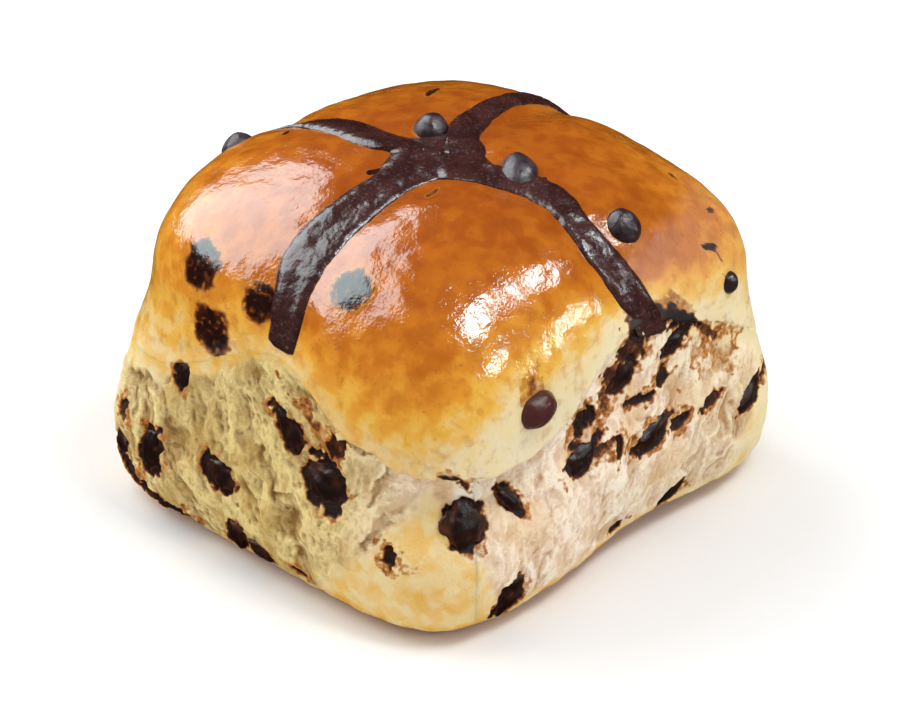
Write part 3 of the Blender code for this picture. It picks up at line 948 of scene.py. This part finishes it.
def crumb_piece(name, start, end, finish):
    """One side from the lip to the base: a front that follows the loaf, with the crumb's
    relief where it is torn, and a plain back that closes it. Its ends dive under the
    next side's."""
    low_end, high_end = math.radians(start - OVERLAP), math.radians(end + OVERLAP)
    bearing = np.linspace(low_end, high_end, CRUMB_COLUMNS)[None, :]
    top = lip(bearing) + TOP_TUCK
    height = top + (FOOT - top) * np.linspace(0.0, 1.0, CRUMB_ROWS)[:, None]
    bearing = np.broadcast_to(bearing, height.shape)
    turn = np.degrees(bearing)
    inside = torn(bearing, height)
    under = lip(bearing) - height
    inward = tuck(bearing, height) + CRUMB_LEVEL * ramp(inside, 0.0, 2 * MM)
    inward = inward + 0.9 * MM * (1 - ramp(under, -1.6 * MM, 0.2 * MM))
    inward = inward + 0.5 * MM * (1 - ramp(height, FOOT, 2.2 * MM))
    beyond = np.maximum(start - turn, turn - end) / OVERLAP
    inward = inward + 1.0 * MM * ramp(beyond, 0.0, 0.8) + 3.0 * MM * ramp(beyond, 0.8, 1.0)
    plain = loaf(bearing, down_at(height), inward)
    out = unit(np.cross(np.gradient(plain, axis=0), np.gradient(plain, axis=1)))
    skin = 1 - ramp(inside, -0.8 * MM, 1.8 * MM)
    torn_stand, wisps = crumb_relief(bearing, plain)
    stand = torn_stand * (1 - 0.88 * skin) + ripples(plain, *DIMPLES) * skin
    stand = stand * ramp(under, -0.5 * MM, 2.0 * MM) * ramp(height, 0.0, 3 * MM)
    far = nearest_chip(plain) + ripples(plain, *MELTED_EDGE)
    melted = 1 - ramp(far, -0.1 * MM, 0.7 * MM)
    fringe = 1 - ramp(far + 1.6 * MM * ripple(plain, 3.4 * MM, 54), 0.0, 1.9 * MM)
    smeared = smears(bearing, height, plain)
    stain = np.maximum(np.maximum(melted, 0.42 * fringe), smeared)
    pit = 0.4 * np.maximum(melted, ramp(smeared, 0.4, 1.0))
    front = plain + out * MM * (stand * (1 - 0.4 * melted) - pit)[..., None]
    front[..., 2] = np.maximum(front[..., 2], 0.1 * MM)
    back = loaf(bearing, down_at(height), inward + BACK_DEPTH)
    back = back[np.linspace(CRUMB_ROWS - 1, 0, BACK_ROWS).astype(int)]
    ring = np.concatenate([front, back]).transpose(1, 0, 2)
    # The hollow mark is painted shade: darker where the crumb lies below its surroundings, with a
    # random tone and the painted shade clouds added
    hollow = (soften(stand, 5) - stand) / 0.32 + (soften(stand, 20) - stand) / 0.7 + 0.20
    hollow = hollow + 0.16 * ripple(plain, 9 * MM, 55)
    for middle, level, wide, tall, amount in PAINTED_SHADE_CLOUDS:
        near = ((turn % 360 - middle) / wide) ** 2 + ((height / MM - level) / tall) ** 2
        hollow = hollow + amount * np.exp(-near)
    marks = {
        "hollow": np.clip(hollow, 0.0, 1.0),
        "wisp": ramp(wisps, -0.2, 0.9),
        "stain": stain,
        "skin": skin,
        # the skin's bake is raised where the hollow mark is set: painted shade in its hollows
        "bake": baking(bearing, height, plain) + 0.08 * skin * np.clip(hollow, 0.0, 1.0),
        "warm": round_trip(bearing, CRUMB_BEARINGS, WARMTHS),
    }
    unseen = np.zeros((BACK_ROWS, CRUMB_COLUMNS))
    marks = {
        mark: mark_rows(np.concatenate([values, unseen]).T) for mark, values in marks.items()
    }
    piece = new_piece("crumb_" + name, *loft(ring), finish, marks)
    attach(piece, "root")
    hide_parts("bun")


torn_crumb = crumb_finish()
for name, start, end in SIDE_ENDS:
    crumb_piece(name, start, end, torn_crumb)


# ----------------------------------------------------------------------------------
# The cross. Chocolate paste piped in two bands before baking, so it has sunk a little
# into the crust, run together in the middle, and spread wider where it lay thick.

MIDDLE_RADIUS = 4.9 * MM  # the paste fills the corners between arms this far out
MIDDLE = (-0.8 * MM, 0.1 * MM)
# How far the paste is domed, how deep it lies in the crust, and how far both have sunk
CROSS_RISE = 0.95 * MM
CROSS_SINK = 0.8 * MM
CROSS_SETTLE = 0.15 * MM
ARM_STEPS = 150
RIM_STEPS, UNDER_STEPS = 14, 5
EVEN_STEPS = 15  # an arm's places are averaged over this many steps
# Each arm: its turn in degrees, how much it thins at its end, then how far out, how far
# aside to the left as seen from the middle, and how wide it is there, in mm
ARMS = (
    (
        0,
        0.6,
        (4.9, 10, 15, 20, 26, 32, 40),
        (1.2, 4.0, 5.3, 6.4, 6.6, 6.0, 4.5),
        (8, 5.2, 4.0, 3.7, 3.2, 2.9, 2.2),
    ),
    (
        90,
        0.6,
        (4.9, 10, 15, 20, 24, 29),
        (1.4, 3.2, 3.0, 3.0, 4.0, 8.0),
        (8, 7.2, 7.0, 6.4, 3.4, 0.7),
    ),
    (
        180,
        0.3,
        (4.9, 10, 20, 26, 31, 35, 42),
        (0.0, 0.1, 0.4, 0.5, 0.9, 2.0, 3.4),
        (8, 6.6, 7.5, 8.0, 7.7, 7.0, 6.8),
    ),
    (
        270,
        0.95,
        (4.9, 10, 15, 20, 25, 30, 35, 39, 42, 45),
        (0.0, 1.4, 3.3, 4.0, 3.0, 2.6, 3.7, 5.2, 7.0, 9.0),
        (8, 5.6, 5.4, 5.4, 4.6, 6, 6.8, 6.8, 7.0, 7.0),
    ),
)


def drape(x, y, lift=0.0):
    """Points over the loaf reached by measuring x and y along the crust from the top, and
    then going straight out by lift."""
    def place(x, y):
        return loaf(np.arctan2(y, x), np.hypot(x, y) / SIDE_LENGTH)

    step = 0.3 * MM
    along_x = place(x + step, y) - place(x - step, y)
    along_y = place(x, y + step) - place(x, y - step)
    out = unit(np.cross(along_x, along_y))
    return place(x, y) + out * np.asarray(lift)[..., None]


def arm_edges(turn, thin, outs, asides, widths):
    """The arm's middle line and its two edges, from the middle of the cross outwards, as
    x and y along the crust, and its thickness. Its places are joined by straight runs,
    then evened out."""
    way = np.linspace(0.0, 1.0, ARM_STEPS)
    angle = math.radians(turn)
    outs = np.array(outs) * MM
    run = outs[0] + (outs[-1] - outs[0]) * way
    window = np.ones(EVEN_STEPS) / EVEN_STEPS
    joined = (np.interp(run, outs, np.array(values) * MM) for values in (asides, widths))
    padded = (np.pad(values, EVEN_STEPS // 2, "edge") for values in joined)
    aside, width = (np.convolve(values, window, "valid") for values in padded)
    aside = aside * ramp(way, 0.0, 0.12)
    half = width / 2 * (1 - 0.35 * ramp(way, 0.985, 1.0))
    ring = np.stack([run, 0 * run + turn, 0 * run], -1)
    corner = (1 - way / 0.13).clip(0) ** 2
    lines = []
    for side, seed in ((0, 60), (-1, 61), (1, 62)):
        waver = ripples(ring, (1.0, 4.5, seed), (0.5, 1.6, seed + 3))
        waver = 0.30 * MM * waver * ramp(way, 0.0, 0.1)
        offset = aside + side * (half + waver + (MIDDLE_RADIUS - half) * corner)
        x_run = run if side else outs[-1] * way
        x = MIDDLE[0] * (1 - way) + x_run * math.cos(angle) - offset * math.sin(angle)
        y = MIDDLE[1] * (1 - way) + x_run * math.sin(angle) + offset * math.cos(angle)
        lines.append(np.stack([x, y], -1))
    return *lines, 1 - thin * ramp(way, 0.80, 0.97)


def cross_rows():
    """The cross as rows from the middle lines of its arms, out over the top to its edge,
    and back underneath: each row runs right round the outline, arm by arm."""
    outline, spine, thick = [], [], []
    for arm in ARMS:
        middle, right, left, deep = arm_edges(*arm)
        outline += [right, left[::-1]]
        spine += [middle, middle[::-1]]
        thick += [deep, deep[::-1]]
    outline, spine, thick = (np.concatenate(part) for part in (outline, spine, thick))
    below = np.linspace(1, 0, UNDER_STEPS)[1:]
    share = np.concatenate([np.linspace(0, 1, RIM_STEPS), below])[:, None]
    top = np.arange(len(share))[:, None] < RIM_STEPS
    line = spine + (outline - spine) * share[..., None]
    place = np.stack([line[..., 0], line[..., 1], 0 * line[..., 0]], -1)
    wide = np.linalg.norm(outline - spine, axis=-1) / (3 * MM)
    dome = CROSS_RISE * thick * np.clip(wide, 0.12, 1.0) * (1 - share**5)
    dome = dome + 0.13 * MM * ripple(place, 2.4 * MM, 63) * (1 - share**4)
    dome = dome + 0.05 * MM * ripple(place, 0.9 * MM, 64)
    lift = np.where(top, dome, -CROSS_SINK * (1 - share**4)) - CROSS_SETTLE
    return drape(line[..., 0], line[..., 1], lift)


def piping_finish():
    """Baked chocolate paste: dark brown with a fine pale fleck, under the same glaze."""
    finish, tree, shader = new_finish("chocolate piping", Specular_IOR_Level=0.65)
    flecks = mottle(tree, 1900.0, 0.52, 0.75, 0.5)
    colour = blend(tree, mottle(tree, 260.0), tone("341816"), tone("42231F"))
    colour = blend(tree, flecks, colour, tone("583C38"))
    rough = spread(tree, flecks, 0.0, 0.5, 0.24, 0.38)
    uneven = bumps(tree, 0.5, (700.0, 0.25, 0.75, 0.09), (2100.0, 0.3, 0.7, 0.03))
    feed(tree, shader, Base_Color=colour, Roughness=rough, Normal=uneven)
    return finish


def sheet_faces(rows):
    """Points and faces of a skin over rows that are rings, with its two open edges each
    folded shut on itself, so that points which meet there are one. Outward faces."""
    count, ring = rows.shape[:2]
    index = np.arange(count * ring).reshape(count, ring)
    right = np.roll(index, -1, axis=1)
    quads = np.stack([index[:-1], index[1:], right[1:], right[:-1]], -1).reshape(-1, 4)
    places = np.round(rows.reshape(-1, 3), 7)
    points, number = np.unique(places, axis=0, return_inverse=True)
    quads = number.reshape(-1)[quads]
    same = (quads == np.roll(quads, -1, axis=1)).any(axis=1)
    folded = (list(dict.fromkeys(face)) for face in quads[same].tolist())
    caps = np.array([corners for corners in folded if len(corners) == 3])
    quads = quads[~same]
    if np.linalg.det(points[quads[:, :3]] - points.mean(0)).sum() < 0:
        quads, caps = quads[:, ::-1], caps[:, ::-1]
    return points, quads, caps.reshape(-1, 3)


cross = new_piece("cross_piping", *sheet_faces(cross_rows()), piping_finish(), {})
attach(cross, "root")
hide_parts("cross")


# ----------------------------------------------------------------------------------
# The chocolate chips. Those in the crown are whole drops that the glaze has run over;
# those in the torn sides have melted, broken and smeared.

CHIP_AROUND, CHIP_DOWN = 56, 40
# Each kind of chip: how far its middle lies in along the loaf's outward direction, its
# three radii (across, up the loaf, outward) and the size of its wrinkles, as shares of
# the solid's radius
KINDS = {
    "drop": (0.22, (1.06, 1.08, 0.95), 0.04),
    "buried": (0.44, (1.25, 1.32, 0.46), 0.10),
    "melted": (0.46, (1.04, 1.04, 0.50), 0.12),
}
DROPS = ("chip_01", "chip_02", "chip_03", "chip_04", "chip_08", "chip_13")
RED_CHIPS = ("chip_13",)
# How much further in some lie than their kind does, as a share of their radius
SUNK = {"chip_04": 0.2, "chip_05": 0.1, "chip_06": 0.1, "chip_07": 0.1, "chip_22": -0.22}
CHIP_FIT = 0.97  # every chip is this much of its solid's size
# Layers of noise that tear a melted chip's rim, as shares of its size
TORN_RIM = ((0.34, 3.2, 83), (0.24, 1.4, 85), (0.16, 0.7, 86))
APART = 40 * MM  # noise is read this far on for each next chip, so that no two are alike


def kind_of(name):
    """Whether a chip is a whole drop, buried under the glaze, or melted."""
    return "drop" if name in DROPS else "buried" if name in BURIED else "melted"


def chip_rows(name):
    """One chip as rings from tip to foot: a ball with three radii, its surface moved in
    and out by wrinkles; a drop is drawn out to a tip, and a melted chip is torn. Also
    how near each point is to the chip's rim."""
    middle, radius, foot, out, uphill = CHIPS[name]
    kind = kind_of(name)
    sunk, radii, wrinkle = KINDS[kind]
    number = int(name[-2:])
    turn = np.linspace(0, 2 * math.pi, CHIP_AROUND, endpoint=False)[None, :]
    fall = np.linspace(0, math.pi, CHIP_DOWN)[:, None]
    level = np.sin(fall)
    way = [level * np.cos(turn), level * np.sin(turn), np.cos(fall) + 0 * turn]
    way = np.stack(way, -1)
    near = way * 3 * MM + number * APART
    size = 1 + wrinkle * ripples(near, (1.0, 2.2, 81), (0.6, 1.0, 82))
    size = np.stack([size, size, size], -1)
    if kind == "drop":
        size = size + 0.14 * np.maximum(0.5 * way[..., 1:2] + 0.86 * way[..., 2:], 0) ** 6
    if kind == "melted":
        ring = np.stack([np.cos(turn), np.sin(turn), 0 * turn], -1) * 2.4 * MM
        jag = ripples(ring + number * APART, *TORN_RIM)
        size = size + (jag * level**4)[..., None] * (1.0, 1.0, 0.0)
    length, width = chip_axes(name)
    axes = np.stack([width * radii[0], length * radii[1], out * radii[2]])
    sunk = sunk + SUNK.get(name, 0.0)
    rows = foot - out * sunk * radius + (way * size * radius * CHIP_FIT) @ axes
    rim = 1 - way[..., 2] + 0.7 * ripple(near, 1.3 * MM, 84)
    return rows, np.clip(rim, 0.0, 1.0)


def chip_finish(name, shade, second, edge, roughness, level):
    """Dark chocolate, a little bloomed, glossy where it has melted, and redder where the red
    mark is set. Its rim takes the edge colour: a reddish brown on melted chips, and on glazed
    chips a darker brown that is painted shade at their foot."""
    finish, tree, shader = new_finish(name, Specular_IOR_Level=level)
    colour = blend(tree, mottle(tree, 420.0, 0.45, 0.7), tone(shade), tone(second))
    colour = blend(tree, spread(tree, read_mark(tree, "rim"), 0.35, 1.0), colour, tone(edge))
    colour = blend(tree, read_mark(tree, "red"), colour, tone("50201A"))
    patches = mottle(tree, 600.0, 0.4, 0.6)
    rough = spread(tree, patches, 0.0, 1.0, roughness, roughness + 0.15)
    grain = bumps(tree, 0.5, (1500.0, 0.3, 0.7, 0.06))
    feed(tree, shader, Base_Color=colour, Roughness=rough, Normal=grain)
    return finish


def join(lofts):
    """Several lofted skins as the points and faces of one mesh."""
    count = 0
    points, quads, caps = [], [], []
    for place, four, three in lofts:
        points.append(place)
        quads.append(four + count)
        caps.append(three + count)
        count += len(place)
    return np.concatenate(points), np.concatenate(quads), np.concatenate(caps)


sorts = {
    # The glazed chips' edge colour darkens their lower half: painted shade at their foot
    "crown_chips": chip_finish("glazed chip", "2E1C20", "483038", "2A1512", 0.32, 0.5),
    "side_chips": chip_finish("melted chip", "200D09", "381A0D", "5A2C12", 0.30, 0.3),
}
for sort, finish in sorts.items():
    melted = sort == "side_chips"
    names = [name for name in CHIPS if (kind_of(name) == "melted") == melted]
    lofts, rims, reds = [], [], []
    for name in names:
        rows, rim = chip_rows(name)
        lofts.append(loft(rows))
        rims.append(mark_rows(rim))
        reds.append(mark_rows(0 * rim + (name in RED_CHIPS)))
    marks = {"rim": np.concatenate(rims), "red": np.concatenate(reds)}
    chips = new_piece(sort, *join(lofts), finish, marks)
    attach(chips, "root")
    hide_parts(*names)


# ----------------------------------------------------------------------------------
# The stage: a plain pale floor, a pale surround, one large soft light behind on the
# left, four small ones in front on the right like the panes of a window, a weak one that
# fills in from the left, and a long lens.

FLOOR_SIZE = 3.0
FLOOR_DROP = 0.05 * MM
FLOOR_GREY = 0.86
VIEW_TURN, VIEW_RISE = math.radians(-46.84), math.radians(31.45)
VIEW_DISTANCE = 0.8
LENS, SENSOR = 219.0, 36.0
AIM = np.array((0.7 * MM, -0.7 * MM, 19.6 * MM))
# Each light is two, one for the matt and one, a little nearer and bluer, for the shiny
# part of what they fall on: its turn, rise and tilt in degrees, distance, size and both
# powers, where 0 leaves one out
LIGHTS = (
    ("back softbox", 194, 41.8, 22, 0.75, (0.80, 0.70), 4.8, 10.7),
    ("left pane", 16, 64, 0, 0.80, (0.20, 0.24), 1.9, 4.3),
    ("right pane", 54, 52, 0, 0.80, (0.15, 0.18), 1.0, 1.8),
    ("low pane", 38, 9, 0, 0.80, (0.10, 0.16), 0.7, 0.8),
    ("small pane", 12, 30, 0, 0.80, (0.09, 0.11), 0.3, 1.0),
    ("fill", -80, 40, 0, 1.0, (1.4, 1.4), 2.0, 0.0),
)
SHINE_COLOUR = (0.87, 0.97, 1.0)
SHINE_NEARER = 0.03
SURROUND_LIGHT = 0.5


def direction(turn, rise):
    """The direction to a place at a turn and a rise: turn 0 is -Y, and 90 degrees is +X."""
    return np.array(
        (math.sin(turn) * math.cos(rise), -math.cos(turn) * math.cos(rise), math.sin(rise))
    )


def point_at(thing, place, target):
    """Put a light or camera at a place, facing a target."""
    thing.location = place
    thing.rotation_euler = Vector(target - place).to_track_quat("-Z", "Y").to_euler()


half = FLOOR_SIZE / 2
corners = [(x * half, y * half, -FLOOR_DROP) for x, y in ((-1, -1), (1, -1), (1, 1), (-1, 1))]
floor_mesh = bpy.data.meshes.new("floor")
floor_mesh.from_pydata(corners, [], [(0, 1, 2, 3)])
floor = bpy.data.objects.new("floor", floor_mesh)
bpy.context.scene.collection.objects.link(floor)
floor_tone = (FLOOR_GREY, FLOOR_GREY, FLOOR_GREY, 1.0)
floor_finish, _, _ = new_finish("pale floor", Base_Color=floor_tone, Roughness=0.9)
floor_mesh.materials.append(floor_finish)
floor.visible_glossy = False
floor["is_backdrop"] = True

for name, turn, rise, tilt, distance, size, matt, shine in LIGHTS:
    way = direction(math.radians(turn), math.radians(rise))
    for power, shiny in ((matt, False), (shine, True)):
        if power == 0:
            continue
        lamp = bpy.data.lights.new(name, "AREA")
        lamp.shape = "RECTANGLE"
        lamp.size, lamp.size_y = size
        lamp.energy = power
        if shiny:
            lamp.color = SHINE_COLOUR
        light = bpy.data.objects.new(name, lamp)
        bpy.context.scene.collection.objects.link(light)
        light.visible_glossy = shiny
        light.visible_diffuse = not shiny
        point_at(light, AIM + (distance - SHINE_NEARER * shiny) * way, AIM)
        light.rotation_euler.rotate_axis("Z", math.radians(tilt))

world = bpy.data.worlds.new("pale surround")
world.use_nodes = True
surround = world.node_tree.nodes["Background"].inputs
surround["Color"].default_value = (1.0, 1.0, 1.0, 1.0)
surround["Strength"].default_value = SURROUND_LIGHT
world.cycles_visibility.glossy = False
bpy.context.scene.world = world
bpy.context.scene.view_settings.view_transform = "Standard"

lens = bpy.data.cameras.new("camera")
lens.lens = LENS
lens.sensor_width = SENSOR
lens.clip_start, lens.clip_end = 0.05, 10.0
camera = bpy.data.objects.new("camera", lens)
bpy.context.scene.collection.objects.link(camera)
point_at(camera, AIM + VIEW_DISTANCE * direction(VIEW_TURN, VIEW_RISE), AIM)
bpy.context.scene.camera = camera

low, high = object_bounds()
